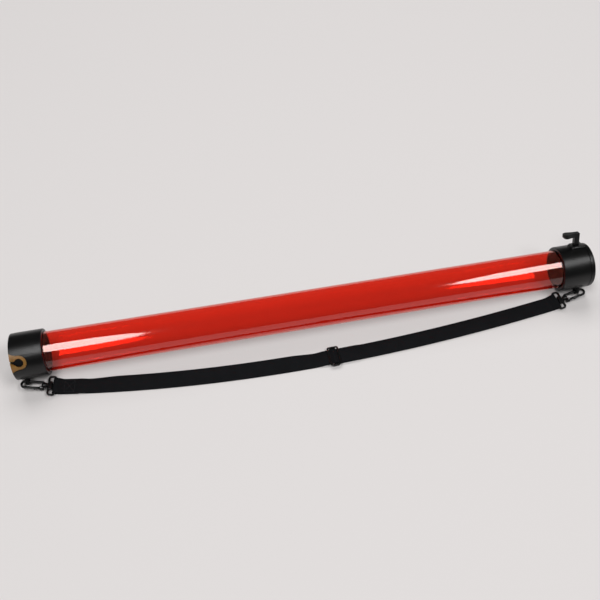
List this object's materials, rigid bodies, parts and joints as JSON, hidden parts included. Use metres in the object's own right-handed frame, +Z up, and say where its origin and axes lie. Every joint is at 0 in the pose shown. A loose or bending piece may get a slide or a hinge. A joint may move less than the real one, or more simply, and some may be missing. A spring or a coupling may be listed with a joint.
{
  "type": "tennis ball pickup tube",
  "caption": "Clear tube that picks balls off the ground through a springy catch ring and lets them out past a sprung stop at the far end, with a clip-on carrying strap.",
  "frame": {"origin": "on the ground under the middle of the part's footprint, as the tube lies on its collars with the strap on the ground in front of it", "axes": "+X along the tube from the pickup end to the release end, +Y away from the strap, +Z up"},
  "size_m": [1.07, 0.1474, 0.1079],
  "materials": {
    "clear_red": "clear tinted polycarbonate, polished",
    "black_plastic": "moulded, satin",
    "amber_rubber": "cast urethane, slightly glossy",
    "black_rubber": "moulded nitrile, matte",
    "webbing": "woven polyester webbing",
    "spring_steel": "drawn wire and turned steel"
  },
  "bodies": {
    "tube_and_strap": {"tube": "clear_red", "pickup_collar": "black_plastic", "catch_ring": "amber_rubber", "catch_sleeve": "black_rubber", "release_collar": "black_plastic", "release_end_ring": "black_plastic", "stop_spring": "spring_steel", "strap": "webbing", "slider": "black_plastic", "pickup_eye": "black_plastic", "release_eye": "black_plastic"},
    "release_stop": {"release_lever": "black_plastic", "stop_button": "black_plastic", "stop_screw": "spring_steel"},
    "pickup_hook_body": {"pickup_hook": "black_plastic", "pickup_gate_pin": "spring_steel", "pickup_gate_spring": "spring_steel"},
    "pickup_hook_gate": {"pickup_gate": "black_plastic"},
    "release_hook_body": {"release_hook": "black_plastic", "release_gate_pin": "spring_steel", "release_gate_spring": "spring_steel"},
    "release_hook_gate": {"release_gate": "black_plastic"}
  },
  "joints": [
    {"name": "release_pull", "type": "slide", "parent": "tube_and_strap", "child": "release_stop", "axis": [0, 0.454, 0.891], "range_m": [0, 0.007], "stiffness_N_per_m": 500, "springref_m": -0.004, "deforming": ["stop_spring"]},
    {"name": "pickup_hook_swivel", "type": "hinge", "parent": "tube_and_strap", "child": "pickup_hook_body", "pos_m": [-0.49138, -0.01611, 0.00768], "axis": [-0.9746, 0.1683, 0.1478], "range_deg": [-8, 8]},
    {"name": "pickup_gate_hinge", "type": "hinge", "parent": "pickup_hook_body", "child": "pickup_hook_gate", "pos_m": [-0.49771, -0.02119, 0.00891], "axis": [-0.1572, -0.0436, -0.9866], "range_deg": [0, 7], "stiffness_Nm_per_rad": 0.02, "springref_deg": -17.19},
    {"name": "release_hook_swivel", "type": "hinge", "parent": "tube_and_strap", "child": "release_hook_body", "pos_m": [0.48446, -0.01486, 0.00805], "axis": [0.9794, 0.1376, 0.1478], "range_deg": [-8, 8]},
    {"name": "release_gate_hinge", "type": "hinge", "parent": "release_hook_body", "child": "release_hook_gate", "pos_m": [0.49064, -0.02014, 0.00928], "axis": [-0.1557, 0.0486, 0.9866], "range_deg": [0, 7], "stiffness_Nm_per_rad": 0.02, "springref_deg": -17.19}
  ]
}
